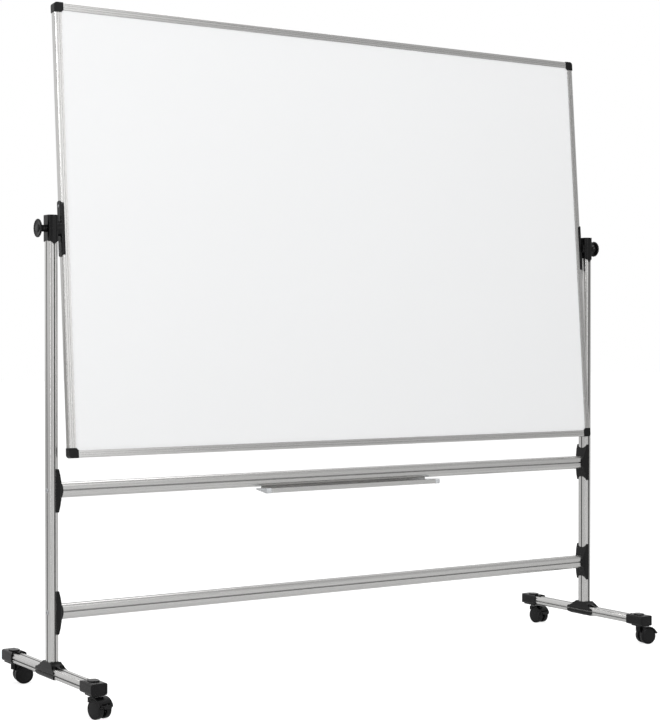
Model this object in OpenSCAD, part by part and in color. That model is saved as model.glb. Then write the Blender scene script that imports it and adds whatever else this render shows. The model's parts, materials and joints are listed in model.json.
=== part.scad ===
// Rolling whiteboard: a revolving board on an aluminium stand with braked twin-wheel casters.
// X runs along the board, Y from front to back, Z up. The origin is on the floor,
// midway between the posts. The board is drawn leaning back by rest_lean.

/* [Board] */
// Overall width of the board
board_w = 1800; // [1500:50:2000]
// Overall height of the board
board_h = 1200; // [1000:50:1200]
// Thickness of the board's frame
frame_t = 21; // [20:0.5:23]
// Width of the frame seen from the front
frame_w = 19.5; // [18:0.5:23]
// Lean of the board at rest, top edge backwards
rest_lean = 4.4; // [0:0.2:12]
// Thickness of each steel writing sheet
sheet_t = 0.5; // [0.4:0.1:0.8]
// Side of the square black corner pieces
corner_w = 26; // [24:1:32]

/* [Stand] */
// Distance from the board's side to each post's axis
post_gap = 26; // [24:1:32]
// Height of the board's pivot above the floor
pivot_z = 1232; // [1230:2:1300]
// Height of the upper crossbar's middle
upper_bar_z = 548; // [500:2:550]
// Height of the lower crossbar's middle
lower_bar_z = 229; // [200:1:260]
// Height of the foot bars' middle
foot_z = 74; // [74:1:76]
// Distance from the middle of a foot to the front of its end cap
foot_reach = 287; // [280:1:340]

/* [Bar section] */
// Width of the bar section
bar_w = 40; // [38:1:42]
// Thickness of the bar section
bar_t = 25; // [24:0.5:26]
// Corner radius of the bar section
bar_r = 9; // [7:0.5:10]
// Wall thickness of the bar section
bar_wall = 1.8; // [1.4:0.1:2.2]
// Width of the groove in each face
groove_w = 4; // [3:0.5:5]
// Depth of the groove in each face
groove_d = 3.5; // [2:0.5:3.5]

/* [Joints and brackets] */
// Wall of the plastic brackets, joints and caps
shell = 2.5; // [2:0.1:3]
// Half height of a crossbar bracket along the post
bracket_reach = 56.5; // [50:0.5:60]
// Half length of a base joint along the foot bar
joint_reach = 57; // [52:1:62]
// Length of a foot end cap
cap_len = 73; // [70:1:80]
// Height of the housing on top of each post
housing_h = 78; // [72:1:84]
// Length of the clip on each side of the board
clip_len = 147; // [120:1:160]
// Diameter of the clamp knobs
knob_d = 50; // [44:1:56]

/* [Pen tray] */
// Length of the pen tray over its ends
tray_len = 604; // [400:4:800]
// Front of the pen tray, in front of the crossbar's middle
tray_front = 55; // [50:1:70]
// Height of the pen tray's front lip
tray_lip = 13; // [9:0.5:14]

/* [Casters] */
// Wheel diameter
wheel_d = 50; // [48:1:51]
// Distance from the stem's axis to the axle
trail = 24; // [22:1:25]
// Half width over both wheels
wheels_half_w = 20; // [18:0.5:21]
// Distance from a foot's middle to each caster stem
stem_y = 250; // [248:1:252]

/* [Hidden] */
$fn = 64;
gap = 0.1;                         // slip fit of plastic over metal
run = 0.06;                        // radial clearance of a turning fit
face_gap = 0.3;                    // clearance between faces that turn past each other
bolt_r = 3.95;
bolt_hole_r = 4.3;
screw_bore_r = 4;
stud_r = 5;
stud_hole_r = 5.6;
stem_r = 5.4;
neck_r = 5;
axle_r = 3;
lever_pin_r = 1.5;
lap = 1;                           // overlap of pieces that join, or overshoot of a cut

// Frame section: chamber for the corner tongues, then a pocket for the panel
frame_wall = 1.5;
frame_skin = 2;                    // wall between the chamber and the frame's two faces
chamber_w = 4.8;
panel_play = 0.4;                  // play of the panel across its two pockets
pocket_start = frame_wall + chamber_w + frame_wall;
core_t = 14.6;
panel_t = core_t + 2 * sheet_t;
panel_w = board_w - 2 * pocket_start - panel_play;
panel_h = board_h - 2 * pocket_start - panel_play;

// Stand heights and lengths
post_x = board_w / 2 + post_gap;
foot_top = foot_z + bar_t / 2;
saddle_floor = 3;                  // plastic between the foot bar and the post
clamp_wall = 3;                    // wall of the clamp half under the foot bar
post_foot_z = foot_top + saddle_floor;
housing_above = 35;                // housing's top above the pivot
housing_lid = 3;
housing_top = pivot_z + housing_above;
post_top = housing_top - housing_lid;
seat_x = bar_t / 2 + 4.5;          // crossbar end, from the post's axis
crossbar_len = 2 * (post_x - seat_x);
bar_inset = 51;                    // foot bar's end, behind the front of its cap
foot_bar_end = foot_reach - bar_inset;
joint_w = bar_w + 2 * shell;
collar_w = bar_t + 2 * shell;
cap_bottom = foot_z - 14;
cap_top = foot_z + 16.7;
lug_bottom = cap_bottom - 2.5;
boss_top = cap_top + 3;            // boss over each caster's stem
socket_top = cap_top + 1;
hood_top = lug_bottom - 3;
wheel_r = wheel_d / 2;

// Pivot stack along X, measured outwards from the board's side
clip_wall = 2.5;
clip_wrap = 8;
clip_lip = 1.6;
clip_screw_r = 1.9;
clip_screw_z = 60;
clip_x = board_w / 2 + clip_wall;
housing_in_x = post_x - bar_t / 2 - shell;
housing_out_x = post_x + bar_t / 2 + shell;
pivot_boss_r = 20;
pivot_face_x = (clip_x + housing_in_x) / 2;
outer_boss_r = 10;
outer_boss_x = housing_out_x + 4;
knob_out_x = post_x + 40;

// Pen tray
tray_wall = 1.5;
tray_top = upper_bar_z - bar_w / 2;
tray_drop = 15;                    // underside of the tray's front, below the crossbar
tray_rise = 7;                     // rise of the tray's floor towards the back
tray_hook = groove_w / 2 - gap;    // half width of the rib that holds the tray in the crossbar
tray_end_len = 16;

// Casters: wheels either side of a web, with a lever hinged behind the axle
wheel_in = 5;                      // wheel's inner face, from the middle of the caster
lever_pin = [trail + 27.5, wheel_r + 9.5];
lever_half_w = 12.3;

// Caster turning angles at rest: name, side, end, direction of trail in degrees
casters = [
  ["front_left", -1, -1, -77],
  ["front_right", 1, -1, -13],
  ["back_left", -1, 1, -11],
  ["back_right", 1, 1, -86],
];

// ---------- helpers ----------

// Rounded rectangle, centred, made of squares and circles
module round_rect(w, h, r) {
  square([w - 2 * r, h], center = true);
  square([w, h - 2 * r], center = true);
  for (x = [-1, 1], y = [-1, 1])
    translate([x * (w / 2 - r), y * (h / 2 - r)]) circle(r);
}

// Radius of the arc that spans a half chord and is d deep
function arc_r(half, d) = (half * half + d * d) / (2 * d);

// Upright cylinder whose arc bites d deep, over a chord of 2 * half, into what lies beyond y = 0
module bite(half, d, h) {
  r = arc_r(half, d);
  translate([0, d - r, 0]) cylinder(r = r, h = h, center = true);
}

module x_cylinder(r, h, center = false) {
  rotate([0, 90, 0]) cylinder(r = r, h = h, center = center);
}

module y_cylinder(r, h) {
  rotate([90, 0, 0]) cylinder(r = r, h = h, center = true);
}

// Draws its children as given for the right side, mirrored for the left
module on_side(side) {
  if (side < 0) mirror([1, 0, 0]) children();
  else children();
}

// Board frame: origin at the pivot, lean applied
module on_board() {
  translate([0, 0, pivot_z]) rotate([-rest_lean, 0, 0]) children();
}

// ---------- bar section ----------

module bar_outline(grow = 0) {
  round_rect(bar_w + 2 * grow, bar_t + 2 * grow, bar_r + grow);
}

// Grooved hollow section with a screw bore in the middle, bar_w along x
module bar_section() {
  rib_d = groove_d + bar_wall;
  rib_w = groove_w + 2 * bar_wall;
  web_w = 3;
  difference() {
    bar_outline();
    for (s = [-1, 1]) {
      translate([0, s * bar_t / 2]) square([groove_w, 2 * groove_d], center = true);
      translate([s * bar_w / 2, 0]) square([2 * groove_d, groove_w], center = true);
    }
    difference() {
      round_rect(bar_w - 2 * bar_wall, bar_t - 2 * bar_wall, bar_r - bar_wall);
      circle(screw_bore_r + bar_wall);
      square([bar_w, bar_wall], center = true);
      square([web_w, bar_t], center = true);
      for (s = [-1, 1]) {
        translate([0, s * bar_t / 2]) square([rib_w, 2 * rib_d], center = true);
        translate([s * bar_w / 2, 0]) square([2 * rib_d, rib_w], center = true);
      }
    }
    circle(screw_bore_r);
  }
}

// ---------- board ----------

module board_core() {
  rim = 60;
  rib = 10;
  cells = [12, 8];
  cell_w = (panel_w - 2 * rim - (cells[0] - 1) * rib) / cells[0];
  cell_h = (panel_h - 2 * rim - (cells[1] - 1) * rib) / cells[1];
  color("burlywood") on_board() difference() {
    cube([panel_w, core_t, panel_h], center = true);
    for (i = [0:cells[0] - 1], j = [0:cells[1] - 1])
      translate([-panel_w / 2 + rim + i * (cell_w + rib), -core_t,
                 -panel_h / 2 + rim + j * (cell_h + rib)])
        cube([cell_w, 2 * core_t, cell_h]);
  }
}

// side is -1 for the front sheet, 1 for the back sheet
module sheet(side) {
  color("white") on_board()
    translate([0, side * (core_t + sheet_t) / 2, 0])
      cube([panel_w, sheet_t, panel_h], center = true);
}

// Frame section: x runs inwards from the board's edge, y is the thickness
module frame_outline() {
  r = 3;
  translate([r, -frame_t / 2]) square([frame_w - r, frame_t]);
  translate([0, -frame_t / 2 + r]) square([r, frame_t - 2 * r]);
  for (s = [-1, 1]) translate([r, s * (frame_t / 2 - r)]) circle(r);
}

module frame_section() {
  line_w = 1.2;
  line_d = 0.5;
  line_at = [0.4, 0.68];
  difference() {
    frame_outline();
    translate([frame_wall, -frame_t / 2 + frame_skin])
      square([chamber_w, frame_t - 2 * frame_skin]);
    translate([pocket_start, -panel_t / 2 - gap]) square([frame_w, panel_t + 2 * gap]);
    for (s = [-1, 1], part = line_at)
      translate([part * frame_w, s * frame_t / 2]) square([line_w, 2 * line_d], center = true);
  }
}

// Rail of a given length along x, its outer side at y = 0 facing -y, thickness along z
module frame_rail(len) {
  rotate([90, 0, 90]) translate([0, 0, -len / 2]) linear_extrude(len) frame_section();
}

// Horizontal rail: end is 1 for the top, -1 for the bottom
module horizontal_rail(end) {
  color("silver") on_board()
    translate([0, 0, end * board_h / 2]) rotate([-end * 90, 0, 0])
      frame_rail(board_w - 2 * corner_w);
}

// Vertical rail with the hole for its pivot stud
module vertical_rail(side) {
  color("silver") on_board() on_side(side) difference() {
    translate([board_w / 2, 0, 0]) rotate([0, -90, 0]) rotate([90, 0, 0])
      frame_rail(board_h - 2 * corner_w);
    translate([board_w / 2 - frame_wall - lap, 0, 0])
      x_cylinder(stud_r + gap, frame_wall + 2 * lap);
    for (z = [-1, 1]) translate([board_w / 2 - frame_wall - lap, 0, z * clip_screw_z])
      x_cylinder(clip_screw_r, frame_wall + 2 * lap);
  }
}

// Corner piece for the lower left corner, outer corner at the origin
module corner_piece() {
  r = 9;
  proud = 0.8;
  tongue = 22;
  tongue_t = frame_t - 2 * frame_skin - 2 * gap;
  depth = frame_t + 2 * proud;
  difference() {
    union() {
      rotate([90, 0, 0]) linear_extrude(depth, center = true) difference() {
        union() {
          translate([r - proud, -proud]) square([corner_w - r + proud, corner_w + proud]);
          translate([-proud, r - proud]) square([corner_w + proud, corner_w - r + proud]);
          translate([r - proud, r - proud]) circle(r);
        }
        translate([corner_w, corner_w]) rotate(45)
          square(sqrt(2) * (corner_w - frame_w), center = true);
      }
      // tongues that slide into the rails' chambers
      translate([corner_w - lap, -tongue_t / 2, frame_wall + gap])
        cube([tongue, tongue_t, chamber_w - 2 * gap]);
      translate([frame_wall + gap, -tongue_t / 2, corner_w - lap])
        cube([chamber_w - 2 * gap, tongue_t, tongue]);
    }
    translate([pocket_start, -panel_t / 2 - gap, pocket_start])
      cube([corner_w, panel_t + 2 * gap, corner_w]);
  }
}

module frame_corners() {
  color("dimgray") on_board()
    for (sx = [0, 1], sz = [0, 1]) mirror([sx, 0, 0]) mirror([0, 0, sz])
      translate([-board_w / 2, 0, -board_h / 2]) corner_piece();
}

// ---------- pivots ----------

// Clip that hugs the board's side and carries one half of the clamping face
module pivot_clip(side) {
  depth = frame_t + 2 * clip_lip;
  width = clip_wrap + clip_wall;
  end_r = 10;
  edge_r = 3;
  bore = 20;
  color("dimgray") on_board() on_side(side) difference() {
    union() {
      translate([clip_x - width, 0, 0]) intersection() {
        rotate([90, 0, 90]) linear_extrude(width) round_rect(depth, clip_len, end_r);
        linear_extrude(clip_len + 2 * lap, center = true) {
          translate([0, -depth / 2]) square([width - edge_r, depth]);
          translate([0, -depth / 2 + edge_r]) square([width, depth - 2 * edge_r]);
          for (s = [-1, 1]) translate([width - edge_r, s * (depth / 2 - edge_r)]) circle(edge_r);
        }
      }
      translate([clip_x - lap, 0, 0])
        x_cylinder(pivot_boss_r - 1, pivot_face_x - face_gap / 2 - clip_x + lap);
    }
    translate([board_w / 2, 0, 0]) rotate([0, -90, 0]) rotate([90, 0, 0])
      rotate([90, 0, 90]) linear_extrude(2 * clip_len, center = true) frame_outline();
    translate([board_w / 2 - lap, 0, 0]) x_cylinder(stud_r + gap, bore);
    for (z = [-1, 1]) translate([board_w / 2 - lap, 0, z * clip_screw_z])
      x_cylinder(clip_screw_r, bore);
  }
}

// Pan-head screws that hold the clips to the board's sides
module clip_screws() {
  head_r = 3.6;
  head_h = 2;
  dome_r = 5.4;
  shank = 5;
  slot = [3.8, 0.8, 2.2];
  color("gray") on_board() for (side = [-1, 1], z = [-1, 1]) on_side(side)
    translate([clip_x, 0, z * clip_screw_z]) rotate([0, 90, 0]) {
      translate([0, 0, -shank]) cylinder(r = clip_screw_r - 0.05, h = shank + 0.01);
      difference() {
        intersection() {
          cylinder(r = head_r, h = head_h);
          translate([0, 0, head_h - dome_r]) sphere(dome_r);
        }
        for (a = [0, 90]) rotate(a) translate([0, 0, head_h]) cube(slot, center = true);
      }
    }
}

// Threaded studs, headed inside the board's frame
module pivot_studs() {
  head_x = board_w / 2 - frame_wall;
  head_r = 7.5;
  head_h = chamber_w - 0.5;
  end_x = knob_out_x - 6;
  color("gray") on_board() for (side = [-1, 1]) on_side(side) {
    translate([head_x - gap - head_h, 0, 0]) x_cylinder(head_r, head_h);
    translate([head_x - lap, 0, 0]) x_cylinder(stud_r, end_x - head_x + lap);
  }
}

// Knob threaded on the stud: a neck that flares out to a rounded rim, with a domed face
module clamp_knob(side) {
  r = knob_d / 2;
  back = outer_boss_x + face_gap;
  len = knob_out_x - back;
  neck = 9;
  neck_len = 4;
  rim_t = 6;
  bead_r = rim_t / 2 - 0.5;
  bead_x = r - rim_t / 2;
  bead_z = len - rim_t / 2 - 0.5;
  dome_r = 46;
  dome_edge = 5;
  bore = len - 5;
  color("dimgray") translate([0, 0, pivot_z]) on_side(side) translate([back, 0, 0]) rotate([0, 90, 0])
    difference() {
      rotate_extrude() difference() {
        union() {
          square([neck, len - 2]);
          translate([0, len - rim_t]) square([bead_x, rim_t - 1]);
          translate([bead_x, bead_z]) circle(bead_r);
          // concave flare from the neck to the rim
          difference() {
            translate([0, neck_len]) square([bead_x, bead_z - neck_len]);
            translate([r - 1, neck_len]) circle(r - 1 - neck + 0.01);
          }
          // shallow dome on the outer face
          intersection() {
            translate([0, len - dome_r]) circle(dome_r);
            translate([0, len - neck_len]) square([r - dome_edge, 2 * neck_len]);
          }
        }
        translate([-r, -lap]) square([r, 3 * len]);
      }
      translate([0, 0, -lap]) cylinder(r = stud_r + run, h = bore + lap);
    }
}

// Black housing over the top of a post, with bores for the stud
module pivot_housing(side) {
  bottom = housing_top - housing_h;
  tip = 9.5;
  arch = 13;
  root = shell + 1.5;                // how far the bosses reach into the housing
  color("dimgray") on_side(side) difference() {
    union() {
      translate([post_x, 0, bottom]) rotate(90) linear_extrude(housing_h) bar_outline(shell);
      translate([pivot_face_x + face_gap / 2, 0, pivot_z])
        x_cylinder(pivot_boss_r, housing_in_x - pivot_face_x + root);
      translate([housing_out_x - root, 0, pivot_z])
        x_cylinder(outer_boss_r, outer_boss_x - housing_out_x + root);
    }
    translate([post_x, 0, bottom - lap]) rotate(90)
      linear_extrude(post_top - bottom + lap) bar_outline(gap);
    translate([pivot_face_x - lap, 0, pivot_z]) x_cylinder(stud_r + run, 2 * collar_w);
    // arch across each wide face
    translate([post_x, 0, bottom]) rotate([90, 0, 90]) bite(joint_w / 2, arch, 2 * joint_w);
    // smaller arches that leave a tip on each narrow face
    for (s = [-1, 1]) translate([post_x + s * collar_w / 2, 0, bottom])
      rotate([90, 0, 0]) bite(collar_w / 2, tip, 2 * joint_w);
  }
}

// ---------- stand ----------

module post(side) {
  color("silver") on_side(side) difference() {
    translate([post_x, 0, post_foot_z]) rotate(90) linear_extrude(post_top - post_foot_z) bar_section();
    translate([post_x - bar_t, 0, pivot_z]) x_cylinder(stud_hole_r, 2 * bar_t);
    for (z = [upper_bar_z, lower_bar_z]) translate([post_x - bar_t, 0, z])
      x_cylinder(bolt_hole_r, 2 * bar_t);
  }
}

module crossbar(z) {
  color("silver") translate([0, 0, z]) rotate([90, 90, 90])
    linear_extrude(crossbar_len, center = true) bar_section();
}

// Bracket between a post and a crossbar. Origin where their axes cross, crossbar towards -x.
module bracket_shape() {
  wrap_x = -3.1;
  tip_x = -bar_t / 2 + 1.5;
  pad_x = -bar_t / 2 - 7;
  pad_z = 23;
  cheek_x = -bar_t / 2 - 14;
  cheek_z = bar_w / 2 - 1;
  cheek_r = 32;
  shoulder_x = -bar_t / 2 - shell;
  waist_x = pad_x + 1.3;
  waist_y = joint_w / 2 - shell;
  nose_x = cheek_x - 2;
  nose_y = bar_t / 2 + 1.7;
  arch = 11;
  difference() {
    intersection() {
      // seen from the front
      rotate([90, 0, 0]) linear_extrude(2 * joint_w, center = true) union() {
        polygon([[wrap_x, bracket_reach], [tip_x, bracket_reach], [pad_x, pad_z],
                 [pad_x, -pad_z], [tip_x, -bracket_reach], [wrap_x, -bracket_reach]]);
        intersection() {
          translate([cheek_x + cheek_r, 0]) circle(cheek_r);
          translate([cheek_x - lap, -cheek_z]) square([20, 2 * cheek_z]);
        }
      }
      // seen from above
      linear_extrude(3 * bracket_reach, center = true)
        polygon([[0, joint_w / 2], [shoulder_x, joint_w / 2], [waist_x, waist_y],
                 [nose_x, nose_y], [nose_x, -nose_y],
                 [waist_x, -waist_y], [shoulder_x, -joint_w / 2], [0, -joint_w / 2]]);
    }
    linear_extrude(3 * bracket_reach, center = true) rotate(90) bar_outline(gap);
    translate([-seat_x - joint_w, 0, 0]) rotate([90, 90, 90]) linear_extrude(joint_w)
      bar_outline(gap);
    x_cylinder(bolt_hole_r, 2 * joint_w, center = true);
    for (s = [0, 1]) mirror([0, 0, s]) translate([0, 0, -bracket_reach])
      rotate([90, 0, 90]) bite(joint_w / 2 - 1, arch, 2 * joint_w);
  }
}

module bracket(side, z) {
  color("dimgray") on_side(side) translate([post_x, 0, z]) bracket_shape();
}

// Button-head bolts through the posts and brackets into the crossbars
module crossbar_bolts() {
  grip = 52;
  color("gray") for (side = [-1, 1], z = [upper_bar_z, lower_bar_z]) on_side(side)
    translate([post_x + bar_t / 2, 0, z]) rotate([0, 90, 0]) button_bolt(grip);
}

// Bolt with its head above z = 0 and its shank below
module button_bolt(grip) {
  head_r = 6.5;
  head_h = 3.6;
  dome_r = 8.8;
  socket_r = 2.6;
  socket_d = 2.2;
  difference() {
    intersection() {
      cylinder(r = head_r, h = head_h);
      translate([0, 0, head_h - dome_r]) sphere(dome_r);
    }
    translate([0, 0, head_h - socket_d]) cylinder(r = socket_r, h = head_h, $fn = 6);
  }
  translate([0, 0, -grip]) cylinder(r = bolt_r, h = grip + 0.01);
}

module foot_bar(side) {
  color("silver") on_side(side) difference() {
    translate([post_x, 0, foot_z]) rotate([90, 0, 0])
      linear_extrude(2 * foot_bar_end, center = true) bar_section();
    translate([post_x, 0, foot_z - bar_t]) cylinder(r = bolt_hole_r, h = 2 * bar_t);
  }
}

// Pair of tapering scallops, d deep, in the end at y of a part over a foot bar. They leave
// narrow tips at the bar's sides and top groove. dir is the way into the part along y.
module foot_scallops(y, dir, d) {
  tip = 1;
  mouth = joint_w / 4 - tip;
  r = 0.72 * mouth;
  for (s = [-1, 1]) translate([s * joint_w / 4, y, 0]) rotate(dir > 0 ? 0 : 180)
    linear_extrude(2 * foot_z) {
      polygon([[-mouth, 0], [mouth, 0], [r, d - r], [-r, d - r]]);
      translate([-mouth, -lap]) square([2 * mouth, lap]);
      translate([0, d - r]) circle(r);
    }
}

// Length of the joint over the foot bar: the saddle's round outline, and a tent whose sides
// slope up to the collar's faces
module joint_body(collar_top) {
  side_x = collar_w / 2;
  slope_x = joint_w / 2 - 0.7;
  slope_z = foot_z + 4;
  rotate([90, 0, 0]) {
    translate([0, foot_z, 0]) linear_extrude(2 * joint_reach, center = true) bar_outline(shell);
    linear_extrude(2 * joint_reach - lap, center = true)
      polygon([[-slope_x, slope_z], [-side_x, collar_top], [side_x, collar_top],
               [slope_x, slope_z], [slope_x, foot_z], [-slope_x, foot_z]]);
  }
}

// Upper half of the base joint: a saddle over the foot bar with a collar for the post
module base_joint(side) {
  split_z = foot_z + 2;
  edge_z = foot_top + 2;
  collar_top = foot_top + 15;
  collar_h = 40;
  valley = 2.5;
  scallop = 24;
  sweep_r = arc_r(joint_reach - joint_w / 2, collar_top - edge_z);
  color("dimgray") on_side(side) translate([post_x, 0, 0]) difference() {
    joint_body(collar_top);
    translate([-joint_w, -2 * joint_reach, 0]) cube([2 * joint_w, 4 * joint_reach, split_z]);
    // foot bar and post
    translate([0, 0, foot_z]) rotate([90, 0, 0])
      linear_extrude(3 * joint_reach, center = true) bar_outline(gap);
    translate([0, 0, post_foot_z]) rotate(90) linear_extrude(collar_h) bar_outline(gap);
    cylinder(r = bolt_hole_r, h = 2 * foot_z);
    // sweeps from the collar down to the ends
    for (s = [-1, 1]) translate([0, s * joint_reach, edge_z + sweep_r])
      x_cylinder(sweep_r, 2 * joint_w, center = true);
    // shallow valley in the collar's top edge on each wide face of the post
    translate([0, 0, collar_top]) rotate([-90, 0, 90]) bite(joint_w / 2, valley, 2 * joint_w);
    foot_scallops(-joint_reach, 1, scallop);
    foot_scallops(joint_reach, -1, scallop);
  }
}

// Lower half of the base joint: a channel under the foot bar
module base_clamp(side) {
  top = -2;                          // below the foot bar's middle
  bottom = -bar_t / 2 - clamp_wall;
  scallop = 14;
  color("dimgray") on_side(side) translate([post_x, 0, 0]) difference() {
    translate([0, 0, foot_z]) rotate([90, 0, 0]) linear_extrude(2 * joint_reach, center = true)
      intersection() {
        bar_outline(clamp_wall);
        translate([-joint_w / 2, bottom]) square([joint_w, top - bottom]);
      }
    translate([0, 0, foot_z]) rotate([90, 0, 0])
      linear_extrude(3 * joint_reach, center = true) bar_outline(gap);
    cylinder(r = bolt_hole_r, h = 2 * foot_z);
    foot_scallops(-joint_reach, 1, scallop);
    foot_scallops(joint_reach, -1, scallop);
  }
}

// Long bolts from below, through the foot bars into the posts
module base_bolts() {
  head_z = foot_z - bar_t / 2 - clamp_wall;
  grip = 62;
  color("gray") for (side = [-1, 1]) on_side(side) translate([post_x, 0, head_z])
    rotate([180, 0, 0]) button_bolt(grip);
}

// Cap on the end of a foot bar, with the socket for a caster: end is -1 at the front, 1 at the back
module foot_cap(side, end) {
  w = joint_w + 1;
  h = cap_top - cap_bottom;
  mid_y = foot_reach - cap_len / 2;
  mid_z = (cap_top + cap_bottom) / 2;
  edge_r = 8;
  corner_r = 7;
  boss = [27, 32, 11];               // width, length and corner radius
  lug = [37, 48, 7];
  rim = 4;
  recess = 0.8;
  color("dimgray") on_side(side) translate([post_x, 0, 0]) mirror([0, end > 0 ? 0 : 1, 0])
    difference() {
      union() {
        intersection() {
          translate([0, mid_y, mid_z]) rotate([90, 0, 0])
            linear_extrude(cap_len + 2 * lap, center = true) round_rect(w, h, edge_r);
          translate([0, mid_y, lug_bottom]) linear_extrude(2 * h)
            round_rect(w + lap, cap_len, corner_r);
        }
        // boss over the stem and lug under it
        translate([0, stem_y, mid_z]) linear_extrude(boss_top - mid_z)
          round_rect(boss[0], boss[1], boss[2]);
        translate([0, foot_reach - 30, lug_bottom]) linear_extrude(h / 3)
          round_rect(lug[0], lug[1], lug[2]);
      }
      translate([0, 0, foot_z]) rotate([90, 0, 0])
        linear_extrude(2 * foot_bar_end, center = true) bar_outline(gap);
      translate([0, stem_y, lug_bottom - lap])
        cylinder(r = stem_r + 0.05, h = socket_top - lug_bottom + lap);
      foot_scallops(foot_reach - cap_len, 1, 14);
      // shallow panel in the outer end
      translate([0, foot_reach + 1, mid_z]) rotate([90, 0, 0]) linear_extrude(1 + recess)
        round_rect(w - 2 * (corner_r + 1), h - 2 * rim, edge_r - rim);
    }
}

// ---------- pen tray ----------

// Tray section: x towards the front, y up from the crossbar's underside. The floor slopes up
// to a rib that sits in the crossbar's lower groove.
module tray_section() {
  bead_r = 1.3;
  front_in = tray_front - tray_wall;
  floor_in = tray_wall - tray_drop;
  lip_y = tray_lip - tray_drop - bead_r;
  polygon([[tray_front, -tray_drop], [tray_front, lip_y], [front_in, lip_y], [front_in, floor_in],
           [tray_hook, floor_in + tray_rise], [tray_hook, groove_d - 0.4],
           [-tray_hook, groove_d - 0.4], [-tray_hook, tray_rise - tray_drop]]);
  translate([tray_front - bead_r, lip_y]) circle(bead_r);
}

module pen_tray() {
  color("silver") translate([0, 0, tray_top]) rotate([90, 0, -90])
    linear_extrude(tray_len - 2 * tray_end_len, center = true) tray_section();
}

// Wedge-shaped outline of a tray end, in the tray section's coordinates
module tray_end_outline() {
  skin = 0.8;
  r = 4;
  top_r = 1.5;
  ledge = 6;
  back_h = 3;
  front = tray_front + skin;
  bottom = -tray_drop - skin;
  top = tray_lip - tray_drop + skin;
  back_y = tray_rise - tray_drop;
  polygon([[front - r, bottom], [front, bottom + r], [front, top - top_r], [front - top_r, top],
           [front - ledge, top], [tray_hook + 2, back_y + back_h], [-tray_hook, back_y + back_h],
           [-tray_hook, back_y - skin]]);
  translate([front - r, bottom + r]) circle(r);
}

// Light plastic end that closes the tray
module tray_end(side) {
  wall = 2.5;
  floor_y = tray_wall - tray_drop;
  front_in = tray_front - tray_wall;
  back_in = 8;
  above = 5;
  back_floor = floor_y + tray_rise * (front_in - back_in) / (front_in - tray_hook);
  color("whitesmoke") on_side(side) translate([tray_len / 2 - tray_end_len, 0, tray_top])
    mirror([0, 1, 0]) rotate([90, 0, 90]) difference() {
      linear_extrude(tray_end_len) tray_end_outline();
      translate([0, 0, -lap]) linear_extrude(tray_end_len + lap - wall)
        polygon([[front_in, floor_y], [front_in, above], [back_in, above], [back_in, back_floor]]);
    }
}

// ---------- casters ----------

module at_caster(c) {
  translate([c[1] * post_x, c[2] * stem_y, 0]) rotate(c[3]) children();
}

// Stem pressed into the cap, with a flange under it and a neck that the hood turns on
module caster_stems() {
  flange_r = 8;
  flange_t = 1;
  neck_in = 9.5;
  color("gray") for (c = casters) at_caster(c) {
    translate([0, 0, hood_top + face_gap])
      cylinder(r = stem_r, h = socket_top - 1 - hood_top - face_gap);
    translate([0, 0, lug_bottom - flange_t]) cylinder(r = flange_r, h = flange_t);
    translate([0, 0, hood_top - neck_in]) cylinder(r = neck_r, h = neck_in + 1.5);
  }
}

// Side outline of the hood: x towards the axle, y up. It starts at start and comes down
// to bottom, with a round corner between them.
module hood_outline(start, bottom) {
  cover_r = hood_top - wheel_r;
  front_r = 5;
  intersection() {
    union() {
      translate([trail, wheel_r]) circle(cover_r);
      translate([start, bottom - lap]) square([trail - start, hood_top - bottom + lap]);
    }
    translate([start + front_r, bottom + front_r]) {
      circle(front_r);
      square([2 * wheel_d, wheel_d]);
      translate([-front_r, 0]) square([wheel_d, wheel_d]);
      translate([0, -front_r]) square([2 * wheel_d, wheel_d]);
    }
  }
}

// Hood over both wheels: a fender, a boss for the stem's neck and a web that carries the axle
module caster_hood(c) {
  half_w = wheels_half_w + 1;
  clear_r = wheel_r + 1.2;
  web_t = 8;
  web_start = -5;
  web_bottom = wheel_r + 12;
  hub_r = 9;
  boss_r = 9.5;
  boss_h = 15;
  neck_bore = 11;
  fender_start = 3;
  fender_bottom = wheel_r + 9;
  ear_r = 3.6;
  ear_t = 5;
  ear_y = 15.5;
  window = [20, 2 * lever_half_w + 0.6, 18.5];
  across = 3 * wheels_half_w;
  color("dimgray") at_caster(c) difference() {
    union() {
      difference() {
        union() {
          rotate([90, 0, 0]) linear_extrude(2 * half_w, center = true)
            hood_outline(fender_start, fender_bottom);
          translate([0, 0, hood_top - boss_h]) cylinder(r = boss_r, h = boss_h);
        }
        translate([trail, 0, wheel_r]) y_cylinder(clear_r, across);
      }
      rotate([90, 0, 0]) linear_extrude(web_t, center = true) {
        hood_outline(web_start, web_bottom);
        translate([trail, wheel_r]) circle(hub_r);
        translate([4, wheel_r]) square([trail - 4, 14]);
        translate([trail - hub_r, wheel_r]) square([2 * hub_r, 20]);
      }
      // ears for the brake lever's pin
      for (s = [-1, 1]) translate([lever_pin[0], s * ear_y, lever_pin[1]]) y_cylinder(ear_r, ear_t);
    }
    translate([0, 0, hood_top - neck_bore]) cylinder(r = neck_r + run, h = 2 * neck_bore);
    translate([trail, 0, wheel_r]) y_cylinder(axle_r + 0.02, across);
    translate([lever_pin[0], 0, lever_pin[1]]) y_cylinder(lever_pin_r + run, across);
    // window for the lever between its ears
    translate([lever_pin[0] - 6.5, -window[1] / 2, lever_pin[1] - 12]) cube(window);
  }
}

module caster_axle(c) {
  color("gray") at_caster(c) translate([trail, 0, wheel_r])
    y_cylinder(axle_r, 2 * (wheels_half_w - 3.5));
}

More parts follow.
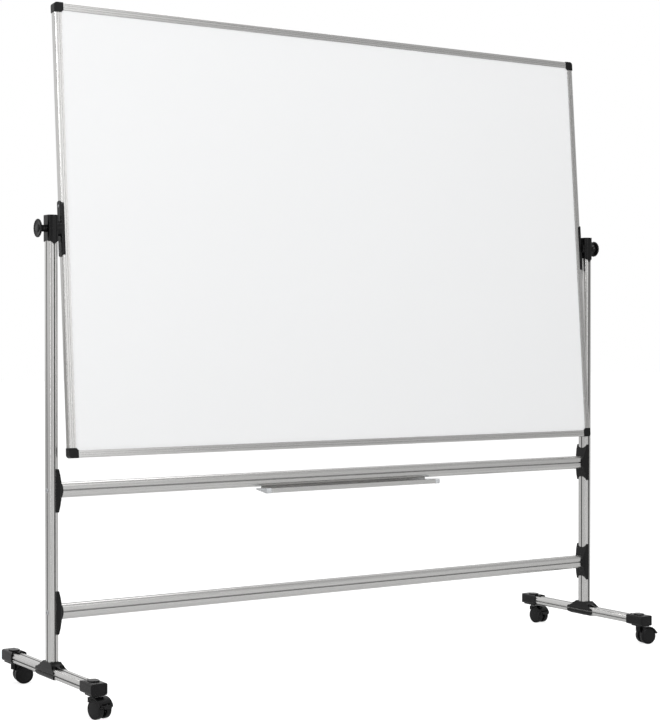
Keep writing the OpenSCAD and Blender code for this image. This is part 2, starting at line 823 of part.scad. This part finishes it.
// One wheel: half is 1 or -1, the side of the web it turns on
module wheel(c, half) {
  w = wheels_half_w - wheel_in;
  edge = 3;
  ring_r = wheel_r - 7;
  ring = [1.4, 0.8];
  hollow = [8, wheel_r - 6];
  face_t = 4;
  color("dimgray") at_caster(c) translate([trail, 0, wheel_r]) rotate([-90 * half, 0, 0])
    translate([0, 0, wheel_in]) difference() {
      rotate_extrude() difference() {
        union() {
          square([wheel_r - edge, w]);
          translate([0, edge]) square([wheel_r, w - 2 * edge]);
          for (z = [edge, w - edge]) translate([wheel_r - edge, z]) circle(edge);
        }
        translate([-wheel_r, -lap]) square([wheel_r, 3 * w]);
        // ring recess round the hub cap, and the hollow behind it
        translate([ring_r, w - ring[1]]) square([ring[0], w]);
        translate([hollow[0], -lap]) square([hollow[1] - hollow[0], w - face_t + lap]);
      }
      translate([0, 0, -lap]) cylinder(r = axle_r + 0.05, h = w - 3 + lap);
    }
}

// Brake lever with its pin, drawn pressed down
module brake_lever(c) {
  pin_len = 35.5;
  barrel_r = 3.4;
  blade = [10.5, 3];
  droop = 27;
  color("dimgray") at_caster(c) translate([lever_pin[0], 0, lever_pin[1]]) {
    y_cylinder(lever_pin_r, pin_len);
    rotate([90, 0, 0]) linear_extrude(2 * lever_half_w, center = true) {
      circle(barrel_r);
      rotate(-droop) translate([0, -1]) square(blade);
    }
  }
}

// ---------- parts ----------

board_core();
sheet(-1);  // front_sheet
sheet(1);  // back_sheet
horizontal_rail(1);  // frame_top
horizontal_rail(-1);  // frame_bottom
vertical_rail(-1);  // frame_left
vertical_rail(1);  // frame_right
frame_corners();
pivot_clip(-1);  // pivot_clip_left
pivot_clip(1);  // pivot_clip_right
clip_screws();
pivot_studs();
clamp_knob(-1);  // knob_left
clamp_knob(1);  // knob_right
post(-1);  // post_left
post(1);  // post_right
pivot_housing(-1);  // pivot_housing_left
pivot_housing(1);  // pivot_housing_right
crossbar(upper_bar_z);  // crossbar_upper
crossbar(lower_bar_z);  // crossbar_lower
crossbar_bolts();
bracket(-1, upper_bar_z);  // bracket_upper_left
bracket(1, upper_bar_z);  // bracket_upper_right
bracket(-1, lower_bar_z);  // bracket_lower_left
bracket(1, lower_bar_z);  // bracket_lower_right
foot_bar(-1);  // foot_bar_left
foot_bar(1);  // foot_bar_right
base_joint(-1);  // base_joint_left
base_joint(1);  // base_joint_right
base_clamp(-1);  // base_clamp_left
base_clamp(1);  // base_clamp_right
base_bolts();
foot_cap(-1, -1);  // foot_cap_front_left
foot_cap(1, -1);  // foot_cap_front_right
foot_cap(-1, 1);  // foot_cap_back_left
foot_cap(1, 1);  // foot_cap_back_right
pen_tray();
tray_end(-1);  // tray_end_left
tray_end(1);  // tray_end_right
caster_stems();
caster_hood(casters[0]);  // caster_hood_front_left
caster_axle(casters[0]);  // caster_axle_front_left
wheel(casters[0], -1);  // wheel_outer_front_left
wheel(casters[0], 1);  // wheel_inner_front_left
brake_lever(casters[0]);  // brake_lever_front_left
caster_hood(casters[1]);  // caster_hood_front_right
caster_axle(casters[1]);  // caster_axle_front_right
wheel(casters[1], -1);  // wheel_outer_front_right
wheel(casters[1], 1);  // wheel_inner_front_right
brake_lever(casters[1]);  // brake_lever_front_right
caster_hood(casters[2]);  // caster_hood_back_left
caster_axle(casters[2]);  // caster_axle_back_left
wheel(casters[2], -1);  // wheel_outer_back_left
wheel(casters[2], 1);  // wheel_inner_back_left
brake_lever(casters[2]);  // brake_lever_back_left
caster_hood(casters[3]);  // caster_hood_back_right
caster_axle(casters[3]);  // caster_axle_back_right
wheel(casters[3], -1);  // wheel_outer_back_right
wheel(casters[3], 1);  // wheel_inner_back_right
brake_lever(casters[3]);  // brake_lever_back_right
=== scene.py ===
import json
import math

import bmesh
import bpy
from mathutils import Matrix, Vector


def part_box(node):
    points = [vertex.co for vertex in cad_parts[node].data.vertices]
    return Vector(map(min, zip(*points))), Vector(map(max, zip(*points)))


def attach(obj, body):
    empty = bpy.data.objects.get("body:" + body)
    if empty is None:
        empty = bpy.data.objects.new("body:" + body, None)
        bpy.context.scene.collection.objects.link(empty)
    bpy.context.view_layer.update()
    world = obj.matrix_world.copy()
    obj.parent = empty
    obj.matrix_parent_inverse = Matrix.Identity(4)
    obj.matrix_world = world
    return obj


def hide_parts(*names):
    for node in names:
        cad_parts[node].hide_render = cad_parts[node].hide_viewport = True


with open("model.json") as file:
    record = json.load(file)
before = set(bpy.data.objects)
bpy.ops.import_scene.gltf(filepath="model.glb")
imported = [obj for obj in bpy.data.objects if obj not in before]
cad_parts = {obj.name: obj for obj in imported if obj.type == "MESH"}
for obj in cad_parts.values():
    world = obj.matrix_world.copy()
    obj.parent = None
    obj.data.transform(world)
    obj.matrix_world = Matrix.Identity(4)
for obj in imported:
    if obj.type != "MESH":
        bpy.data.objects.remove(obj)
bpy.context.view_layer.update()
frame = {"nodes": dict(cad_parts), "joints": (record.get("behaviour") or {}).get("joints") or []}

NODES = frame["nodes"]

# ---------------------------------------------------------------- materials

WHITE = (0.9, 0.905, 0.91, 1)
ALUMINIUM = (0.72, 0.715, 0.705, 1)
BLACK = (0.0035, 0.0035, 0.0038, 1)


class Shader:
    """A material with its Principled shader and short calls for the nodes that feed it."""

    def __init__(self, name):
        self.material = bpy.data.materials.new(name)
        self.material.use_nodes = True
        self.tree = self.material.node_tree
        self.shader = self.tree.nodes["Principled BSDF"]

    def set(self, **values):
        for name, value in values.items():
            self.shader.inputs[name.replace("_", " ")].default_value = value
        return self

    def node(self, kind, **settings):
        made = self.tree.nodes.new(kind)
        for name, value in settings.items():
            made.inputs[name.replace("_", " ")].default_value = value
        return made

    def link(self, output, target):
        self.tree.links.new(output, target)

    def noise(self, size, stretch=(1, 1, 1), detail=3.0):
        """Noise in the row frame's metres, with its features stretched along each axis."""
        source = self.node("ShaderNodeTexCoord")
        mapping = self.node("ShaderNodeMapping", Scale=[1 / s for s in stretch])
        made = self.node("ShaderNodeTexNoise", Scale=1 / size, Detail=detail)
        self.link(source.outputs["Object"], mapping.inputs["Vector"])
        self.link(mapping.outputs["Vector"], made.inputs["Vector"])
        return made.outputs["Fac"]

    def ranged(self, value, low, high, start=0.3, end=0.7):
        made = self.node("ShaderNodeMapRange", From_Min=start, From_Max=end, To_Min=low, To_Max=high)
        self.link(value, made.inputs["Value"])
        return made.outputs["Result"]

    def shades(self, value, dark, light, start=0.3, end=0.7):
        ramp = self.node("ShaderNodeValToRGB")
        for element, position, colour in zip(ramp.color_ramp.elements, (start, end), (dark, light)):
            element.position = position
            element.color = colour
        self.link(value, ramp.inputs["Fac"])
        self.link(ramp.outputs["Color"], self.shader.inputs["Base Color"])
        return self

    def rough(self, value, low, high):
        self.link(self.ranged(value, low, high), self.shader.inputs["Roughness"])
        return self

    def bump(self, height, distance, strength=1.0):
        made = self.node("ShaderNodeBump", Distance=distance, Strength=strength)
        self.link(height, made.inputs["Height"])
        self.link(made.outputs["Normal"], self.shader.inputs["Normal"])
        return self

    def paint_groove_shade(self, reach, darkest):
        """Dims the base colour by ambient occlusion in grooves narrower than reach: painted shade
        where the grooves shut out light.
        """
        shade = self.node("ShaderNodeAmbientOcclusion", Distance=reach)
        shade.samples = 6
        factor = self.ranged(shade.outputs["AO"], darkest, 1, 0.3, 0.8)
        blend = self.node("ShaderNodeMix", Factor=1.0)
        blend.data_type = "RGBA"
        blend.blend_type = "MULTIPLY"
        base = self.shader.inputs["Base Color"]
        self.link(base.links[0].from_socket, blend.inputs["A"])
        self.link(factor, blend.inputs["B"])
        self.link(blend.outputs["Result"], base)
        return self


def tint(colour, factor):
    return tuple(c * factor for c in colour[:3]) + (1,)


def drawn_aluminium(name, along):
    """Satin anodised extrusion with fine die lines along one axis."""
    stretch = [1, 1, 1]
    stretch[along] = 150
    m = Shader(name).set(Metallic=1.0)
    lines = m.noise(0.0012, stretch, detail=4)
    m.shades(lines, tint(ALUMINIUM, 0.94), tint(ALUMINIUM, 1.04))
    # painted shade: the base colour darkened by ambient occlusion inside the extrusion's grooves
    m.paint_groove_shade(0.006, 0.1)
    m.rough(m.noise(0.004, stretch), 0.22, 0.3)
    m.bump(lines, 0.00001, 0.3)
    return m.material


def moulded_plastic(name, colour, rough, grain):
    """Black moulding with a spark-eroded grain and slightly uneven gloss."""
    m = Shader(name).set(Specular_IOR_Level=0.27)
    cloud = m.noise(0.03)
    m.shades(cloud, tint(colour, 0.8), tint(colour, 1.3))
    m.rough(cloud, rough - 0.05, rough + 0.06)
    m.bump(m.noise(grain, detail=4), grain / 16, 0.6)
    return m.material


def enamel():
    """Gloss white enamel with the faint haze that wiping leaves."""
    m = Shader("white_enamel").set(Coat_Weight=0.25, Coat_Roughness=0.3)
    haze = m.noise(0.5, (2, 1, 0.6), detail=5)
    m.shades(haze, tint(WHITE, 0.996), WHITE)
    m.rough(haze, 0.28, 0.31)
    m.bump(m.noise(0.02, detail=2), 0.00002, 0.3)
    return m.material


def zinc():
    m = Shader("zinc_steel").set(Metallic=1.0)
    spangle = m.noise(0.002)
    m.shades(spangle, (0.5, 0.51, 0.53, 1), (0.62, 0.63, 0.64, 1))
    m.rough(spangle, 0.25, 0.38)
    return m.material


def chrome():
    m = Shader("chromed_steel").set(Metallic=1.0)
    m.shades(m.noise(0.005), (0.78, 0.79, 0.8, 1), (0.84, 0.85, 0.86, 1))
    m.rough(m.noise(0.003), 0.06, 0.12)
    return m.material


def translucent():
    m = Shader("translucent_plastic").set(Transmission_Weight=0.35, IOR=1.46)
    cloud = m.noise(0.012)
    m.shades(cloud, (0.78, 0.8, 0.82, 1), (0.86, 0.87, 0.88, 1))
    m.rough(cloud, 0.3, 0.4)
    m.bump(m.noise(0.001), 0.00004, 0.4)
    return m.material


def fibreboard():
    m = Shader("panel_core")
    m.shades(m.noise(0.008, detail=6), (0.42, 0.33, 0.23, 1), (0.58, 0.48, 0.36, 1))
    m.rough(m.noise(0.005), 0.8, 0.92)
    m.bump(m.noise(0.0015), 0.0001)
    return m.material


def named(*starts):
    return [piece for name, piece in sorted(NODES.items()) if name.startswith(starts)]


def paint(material, pieces):
    for piece in pieces:
        piece.data.materials.clear()
        piece.data.materials.append(material)


def soften(pieces, width):
    """Rounds the moulded edges of CAD nodes with a small bevel."""
    for piece in pieces:
        weld = piece.modifiers.new("weld", "WELD")
        weld.merge_threshold = 0.00001
        flat = piece.modifiers.new("flat", "DECIMATE")
        flat.decimate_type = "DISSOLVE"
        flat.angle_limit = math.radians(1)
        bevel = piece.modifiers.new("bevel", "BEVEL")
        bevel.width = width
        bevel.segments = 3
        bevel.limit_method = "ANGLE"
        bevel.angle_limit = math.radians(32)
        normals = piece.modifiers.new("normals", "WEIGHTED_NORMAL")
        normals.weight = 80
        piece.data.polygons.foreach_set("use_smooth", [True] * len(piece.data.polygons))


MOULDED = named("frame_corners", "pivot_clip", "pivot_housing", "bracket", "base_joint",
                "base_clamp", "foot_cap")
HOODS = named("caster_hood")
TRAY_ENDS = named("tray_end")
METAL_X = named("frame_top", "frame_bottom", "crossbar_upper", "crossbar_lower", "pen_tray")
ZINC = named("clip_screws", "pivot_studs", "crossbar_bolts", "base_bolts", "caster_axle")

CASTER_PLASTIC = moulded_plastic("caster_plastic", BLACK, 0.25, 0.0006)
WHEEL_PLASTIC = moulded_plastic("wheel_plastic", tint(BLACK, 1.2), 0.22, 0.0005)
KNOB_PLASTIC = moulded_plastic("knob_plastic", tint(BLACK, 1.2), 0.26, 0.0005)

paint(drawn_aluminium("aluminium_x", 0), METAL_X)
paint(drawn_aluminium("aluminium_y", 1), named("foot_bar"))
paint(drawn_aluminium("aluminium_z", 2), named("frame_left", "frame_right", "post"))
paint(moulded_plastic("black_plastic", BLACK, 0.28, 0.0007), MOULDED)
paint(CASTER_PLASTIC, HOODS)
paint(zinc(), ZINC)
paint(chrome(), named("caster_stems"))
paint(translucent(), TRAY_ENDS)
paint(enamel(), named("front_sheet", "back_sheet"))
paint(fibreboard(), named("board_core"))
soften(MOULDED + HOODS + TRAY_ENDS, 0.0007)

# ---------------------------------------------------------------- turned and moulded pieces

MM = 0.001
FINE_EDGE = 0.3 * MM    # bevel on wheels and knobs
LEVER_EDGE = 0.4 * MM
MERGE_WITHIN = 0.001 * MM
JOINTS = {joint["name"]: joint for joint in frame["joints"]}
CASTERS = [name.removeprefix("swivel_") for name in sorted(JOINTS) if name.startswith("swivel_")]


def placed(centre, axis, up=(0, 0, 1)):
    """The frame of a turned piece: local z along axis, local x level or along up's part across it."""
    z = Vector(axis).normalized()
    x = Vector(up).cross(z).normalized()
    return Matrix.Translation(centre) @ Matrix((x, z.cross(x), z)).transposed().to_4x4()


def finish_piece(bm, name, body, node, material, edge):
    """Turns a bmesh into a piece that stands for one CAD node, with softened edges."""
    bmesh.ops.remove_doubles(bm, verts=bm.verts, dist=MERGE_WITHIN)
    bmesh.ops.recalc_face_normals(bm, faces=bm.faces)
    mesh = bpy.data.meshes.new(name)
    bm.to_mesh(mesh)
    bm.free()
    mesh.polygons.foreach_set("use_smooth", [True] * len(mesh.polygons))
    mesh.materials.append(material)
    piece = bpy.data.objects.new(name, mesh)
    bpy.context.scene.collection.objects.link(piece)
    bevel = piece.modifiers.new("bevel", "BEVEL")
    bevel.width = edge
    bevel.segments = 2
    bevel.limit_method = "ANGLE"
    bevel.angle_limit = math.radians(35)
    normals = piece.modifiers.new("normals", "WEIGHTED_NORMAL")
    normals.weight = 80
    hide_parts(node)
    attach(piece, body)
    return piece


def arc(centre, radius, start, end, steps):
    """Points along an arc in a turned outline, angles in degrees from the outward direction."""
    turns = [math.radians(start + (end - start) * i / steps) for i in range(steps + 1)]
    return [(centre[0] + radius * math.cos(t), centre[1] + radius * math.sin(t)) for t in turns]


def turned(outline, place, segments, radius_at=lambda r, angle: r):
    """A bmesh of an outline of (radius, height) in mm, turned about place's z axis. Points on the
    axis become one vertex. radius_at may change a radius with the angle."""
    bm = bmesh.new()
    rings = []
    for r, h in outline:
        ring = []
        for i in range(segments if r > 0 else 1):
            angle = math.tau * i / segments
            rr = radius_at(r, angle) * MM
            at = (rr * math.cos(angle), rr * math.sin(angle), h * MM)
            ring.append(bm.verts.new(place @ Vector(at)))
        rings.append(ring)
    for a, b in zip(rings, rings[1:]):
        for i in range(segments):
            j = (i + 1) % segments
            corners = [a[i % len(a)], a[j % len(a)], b[j % len(b)], b[i % len(b)]]
            bm.faces.new(list(dict.fromkeys(corners)))
    return bm


# Wheels: a rounded tread with two fine grooves, a ring recess and a slightly domed hub cap. All
# sizes are in mm, and heights go from the wheel's inner side to its outer one.
WHEEL_INNER = 5          # from the stem's middle plane to the wheel's inner side
WHEEL_RADIUS = 25
WHEEL_WIDTH = 15
AXLE_HOLE = (3.1, 12.6)  # radius, depth
WHEEL_HUB = 8
WHEEL_WEB = 11.6         # height of the web's inner side
CAP_RADIUS = 19.4
CAP_STEPS = 6
TREAD_GROOVES = (5.6, 9.4)
WHEEL_SEGMENTS = 80


def wheel_outline():
    face = WHEEL_WIDTH - 0.4
    rim = face - 0.2
    hole, depth = AXLE_HOLE
    inner = [(0, depth), (hole, depth), (hole, 0), (WHEEL_HUB, 0), (WHEEL_HUB, WHEEL_WEB),
             (CAP_RADIUS - 0.8, WHEEL_WEB), (CAP_RADIUS, 0)]
    tread = []
    for middle in TREAD_GROOVES:
        tread += [(WHEEL_RADIUS, middle - 0.5), (WHEEL_RADIUS - 0.5, middle - 0.2),
                  (WHEEL_RADIUS - 0.5, middle + 0.2), (WHEEL_RADIUS, middle + 0.5)]
    recess = [(21, face), (20.6, face - 0.9), (19.8, face - 0.9), (CAP_RADIUS, rim)]
    cap = []
    for i in range(1, CAP_STEPS):
        way_in = i / CAP_STEPS
        cap.append((CAP_RADIUS * (1 - way_in), rim + 0.6 * math.sin(math.pi / 2 * way_in)))
    return (inner + arc((22, 3), 3, -90, 0, 6) + tread + arc((22.5, face - 2.5), 2.5, 0, 90, 6)
            + recess + cap + [(0, WHEEL_WIDTH)])


def make_wheels():
    for end in CASTERS:
        for half, way in (("outer", -1), ("inner", 1)):
            joint = JOINTS[f"roll_{half}_{end}"]
            axis = Vector(joint["axis"]) * way
            place = placed(Vector(joint["pos_m"]) + axis * WHEEL_INNER * MM, axis)
            node = f"wheel_{half}_{end}"
            bm = turned(wheel_outline(), place, WHEEL_SEGMENTS)
            finish_piece(bm, f"{node}_turned", node, node, WHEEL_PLASTIC, FINE_EDGE)


# Knobs: a fluted rim, a dished face and a raised hub on a flared neck, in mm
FLUTES = 20
FLUTE_DEPTH = 0.9
RIM_BAND = 2.5    # how far in from the rim the flutes reach
KNOB_NECK = 9
STUD_HOLE = 5.1


def knob_outline(length, radius):
    rim_back = length - 6
    end = length - 5
    bore = [(0, end), (STUD_HOLE, end), (STUD_HOLE, 0), (KNOB_NECK, 0)]
    flare = arc((radius - 2, 4), radius - 2 - KNOB_NECK, 180, 132, 8)
    rim = [(radius - RIM_BAND, rim_back + 0.4), (radius - 0.8, rim_back + 1.2),
           (radius, rim_back + 2.4), (radius, length - 2), (radius - 0.8, length - 0.9),
           (radius - 2.4, length - 0.3)]
    dish = [(radius - 3.8, length - 0.5), (radius - 5, length - 1.7), (12, length - 2.4)]
    hub = [(11, length - 2.2), (10, length - 0.6), (6, length - 0.1), (0, length)]
    return bore + flare + rim + dish + hub


def fluted(limit):
    """A radius_at for turned() that cuts flutes into what lies farther out than limit."""
    def cut(r, angle):
        wave = 0.5 - 0.5 * math.cos(FLUTES * angle)
        return r - (FLUTE_DEPTH * wave if r > limit else 0)
    return cut


def make_knobs():
    for side, way in (("left", -1), ("right", 1)):
        node = f"knob_{side}"
        low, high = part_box(node)
        back = high.x if way < 0 else low.x
        centre = Vector((back, (low.y + high.y) / 2, (low.z + high.z) / 2))
        radius = (high.z - low.z) / 2 / MM
        outline = knob_outline((high.x - low.x) / MM, radius)
        place = placed(centre, (way, 0, 0))
        bm = turned(outline, place, FLUTES * 8, fluted(radius - RIM_BAND))
        finish_piece(bm, f"{node}_turned", node, node, KNOB_PLASTIC, FINE_EDGE)


# Brake levers: a pad with grip ribs on its pin, narrowing towards the tip, in mm
LEVER_HALF = 12.2   # half the pad's width
NARROWS_FROM = 6    # away from the stem, where the pad starts to narrow
NARROWING = 0.55
LEVER_BOSS = 3.2
PIN_HALF = 17.7
PIN_RADIUS = 1.5
RIBS = 4
RIB_PITCH = 1.5


def lever_outline():
    """Side view in mm about the pin, with the half width: (away from the stem, up, half width)."""
    top = []
    for i in range(RIBS):
        x = 3.4 + i * RIB_PITCH
        y = 1.9 - 0.5 * x
        top += [(x, y), (x + 0.3, y + 0.35), (x + 0.8, y + 0.1), (x + 1.0, y - 0.45)]
    tip = [(9.6, -2.7), (10.0, -3.3), (9.7, -4.3), (8.9, -4.5)]
    side = arc((0, 0), LEVER_BOSS, 270, 50, 9) + top + tip + [(6.2, -4.1), (2.6, -2.4)]
    return [(x, y, LEVER_HALF - NARROWING * max(0, x - NARROWS_FROM)) for x, y in side]


def make_levers():
    for end in CASTERS:
        joint = JOINTS[f"brake_{end}"]
        pin = Vector(joint["pos_m"])
        across = Vector(joint["axis"]).normalized()
        away = (pin - Vector(JOINTS[f"swivel_{end}"]["pos_m"])) * Vector((1, 1, 0))
        away.normalize()
        pin_outline = [(0, -PIN_HALF), (PIN_RADIUS, -PIN_HALF), (PIN_RADIUS, PIN_HALF),
                       (0, PIN_HALF)]
        bm = turned(pin_outline, placed(pin, across), 20)
        ends = []
        for side in (-1, 1):
            ring = [pin + (away * x + Vector((0, 0, y)) + across * side * half) * MM
                    for x, y, half in lever_outline()]
            ends.append([bm.verts.new(point) for point in ring])
            bm.faces.new(ends[-1])
        near, far = ends
        for i in range(len(near)):
            bm.faces.new([near[i - 1], near[i], far[i], far[i - 1]])
        node = f"brake_lever_{end}"
        finish_piece(bm, f"{node}_ribbed", f"brake_{end}", node, CASTER_PLASTIC,
                     LEVER_EDGE)


make_wheels()
make_knobs()
make_levers()

# ---------------------------------------------------------------- studio

# The camera looks slightly down from the front left. Angles are in radians, the lens in mm.
CAMERA_AT = Vector((-2.7564, -4.0976, 0.9474))
CAMERA_YAW = 0.583
CAMERA_PITCH = -0.0132
CAMERA_LENS = 84.8

# How bright the surroundings are in front of the board and behind it, and the floor's half width
FRONT = 0.46
BACK = 0.75
FLOOR_HALF = 30

# Softboxes: name, place, what it points at, width, height, watts
SOFTBOXES = (
    ("key", (-1.3, -5.8, 4.4), (0, 0, 0.9), 3.0, 2.2, 204),
    ("fill", (1.2, -5.6, 2.3), (0, 0, 1.1), 1.4, 3.2, 14),
    ("top", (0, 1.0, 5.0), (0, 0, 1.0), 4.0, 2.5, 60),
    ("side", (-4.2, -1.3, 1.4), (-0.9, 0, 0.9), 0.5, 2.4, 8),
)


def make_camera():
    data = bpy.data.cameras.new("camera")
    data.lens = CAMERA_LENS
    data.sensor_width = 36
    camera = bpy.data.objects.new("camera", data)
    bpy.context.scene.collection.objects.link(camera)
    camera.location = CAMERA_AT
    look = Vector((math.sin(CAMERA_YAW) * math.cos(CAMERA_PITCH),
                   math.cos(CAMERA_YAW) * math.cos(CAMERA_PITCH),
                   math.sin(CAMERA_PITCH)))
    camera.rotation_euler = look.to_track_quat("-Z", "Y").to_euler()
    bpy.context.scene.camera = camera


def mix_for_camera(tree, seen, lit):
    """A mix node that gives seen to the camera and lit to everything that the surroundings light."""
    path = tree.nodes.new("ShaderNodeLightPath")
    mix = tree.nodes.new("ShaderNodeMix")
    mix.data_type = "RGBA"
    mix.inputs["A"].default_value = lit
    mix.inputs["B"].default_value = seen
    tree.links.new(path.outputs["Is Camera Ray"], mix.inputs["Factor"])
    return mix


def make_floor():
    mesh = bpy.data.meshes.new("floor")
    corners = [(-FLOOR_HALF, -FLOOR_HALF, 0), (FLOOR_HALF, -FLOOR_HALF, 0),
               (FLOOR_HALF, FLOOR_HALF, 0), (-FLOOR_HALF, FLOOR_HALF, 0)]
    mesh.from_pydata(corners, [], [(0, 1, 2, 3)])
    floor = bpy.data.objects.new("floor", mesh)
    bpy.context.scene.collection.objects.link(floor)
    m = Shader("floor")
    m.set(Base_Color=(0.45, 0.45, 0.45, 1), Roughness=0.9, Specular_IOR_Level=0.1)
    m.set(Emission_Strength=1.0)
    glow = mix_for_camera(m.tree, (0.8, 0.8, 0.8, 1), (0.2, 0.2, 0.2, 1))
    m.link(glow.outputs["Result"], m.shader.inputs["Emission Color"])
    mesh.materials.append(m.material)


def make_world():
    """White behind the board, where the camera looks, and a dimmer studio in front of it."""
    world = bpy.data.worlds.new("studio")
    bpy.context.scene.world = world
    world.use_nodes = True
    tree = world.node_tree
    source = tree.nodes.new("ShaderNodeTexCoord")
    split = tree.nodes.new("ShaderNodeSeparateXYZ")
    ramp = tree.nodes.new("ShaderNodeValToRGB")
    for element, position, level in zip(ramp.color_ramp.elements, (0.25, 0.75), (FRONT, BACK)):
        element.position = position
        element.color = (level, level, level, 1)
    spread = tree.nodes.new("ShaderNodeMapRange")
    spread.inputs["From Min"].default_value = -1
    mix = mix_for_camera(tree, (1, 1, 1, 1), (1, 1, 1, 1))
    tree.links.new(source.outputs["Generated"], split.inputs["Vector"])
    tree.links.new(split.outputs["Y"], spread.inputs["Value"])
    tree.links.new(spread.outputs["Result"], ramp.inputs["Fac"])
    tree.links.new(ramp.outputs["Color"], mix.inputs["A"])
    tree.links.new(mix.outputs["Result"], tree.nodes["Background"].inputs["Color"])


def softbox(name, at, target, width, height, watts):
    data = bpy.data.lights.new(name, "AREA")
    data.shape = "RECTANGLE"
    data.size = width
    data.size_y = height
    data.energy = watts
    light = bpy.data.objects.new(name, data)
    bpy.context.scene.collection.objects.link(light)
    light.location = at
    light.rotation_euler = (Vector(target) - Vector(at)).to_track_quat("-Z", "Y").to_euler()


make_camera()
make_floor()
make_world()
for box in SOFTBOXES:
    softbox(*box)

scene = bpy.context.scene
scene.view_settings.view_transform = "Standard"
scene.view_settings.look = "None"
